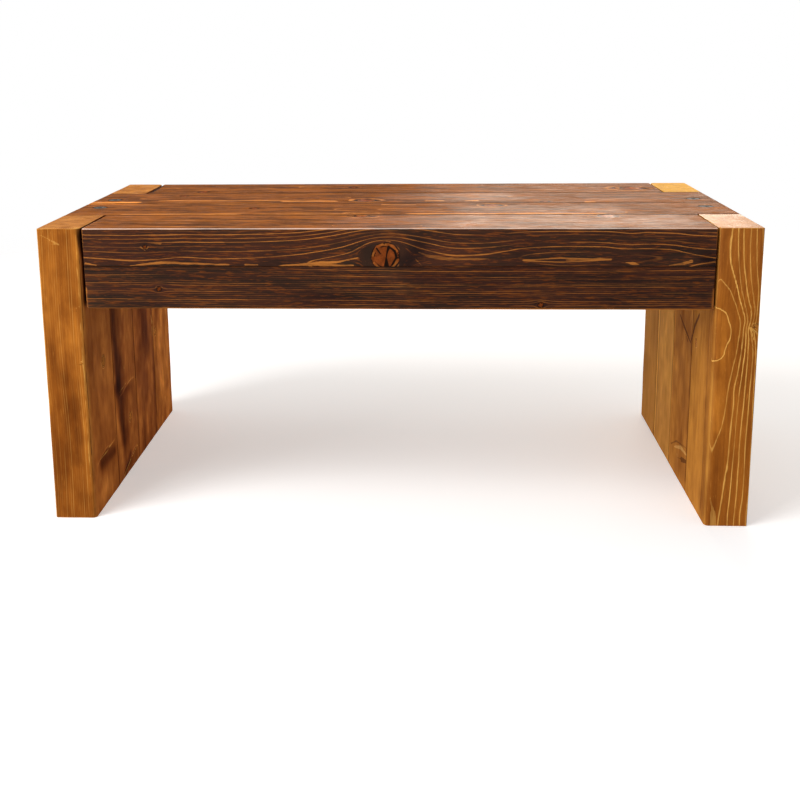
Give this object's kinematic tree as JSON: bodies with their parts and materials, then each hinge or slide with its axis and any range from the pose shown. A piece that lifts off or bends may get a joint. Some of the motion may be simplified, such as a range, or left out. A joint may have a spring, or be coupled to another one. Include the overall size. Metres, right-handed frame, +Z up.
{
  "type": "plank bench",
  "caption": "Heavy rustic plank bench or low table: dark plank top finger-lapped over two honey-coloured plank legs, held by flush wide-headed screws.",
  "frame": {"origin": "on the floor, at the middle of the bench's length and depth", "axes": "+X along the bench to the right as seen from the front, -Y the front, +Z up"},
  "size_m": [1.15, 0.58, 0.495],
  "materials": {
    "dark_softwood": "dark stained and waxed, satin",
    "honey_softwood": "honey stained and waxed, satin",
    "plain_softwood": "unfinished",
    "beech_dowel": "unfinished",
    "zinc_steel": "dull zinc plate"
  },
  "bodies": {
    "root": {"back_middle_top_plank": "dark_softwood", "back_rail": "dark_softwood", "back_rail_dowels": "beech_dowel", "back_rail_screws": "zinc_steel", "back_top_plank": "dark_softwood", "front_middle_top_plank": "dark_softwood", "front_rail": "dark_softwood", "front_rail_dowels": "beech_dowel", "front_rail_screws": "zinc_steel", "front_top_plank": "dark_softwood", "left_batten_screws": "zinc_steel", "left_cross_batten": "plain_softwood", "left_leg_back_middle_plank": "honey_softwood", "left_leg_back_plank": "honey_softwood", "left_leg_dowels": "beech_dowel", "left_leg_front_middle_plank": "honey_softwood", "left_leg_front_plank": "honey_softwood", "left_timber_screws": "zinc_steel", "right_batten_screws": "zinc_steel", "right_cross_batten": "plain_softwood", "right_leg_back_middle_plank": "honey_softwood", "right_leg_back_plank": "honey_softwood", "right_leg_dowels": "beech_dowel", "right_leg_front_middle_plank": "honey_softwood", "right_leg_front_plank": "honey_softwood", "right_timber_screws": "zinc_steel", "top_dowels": "beech_dowel"}
  },
  "joints": []
}
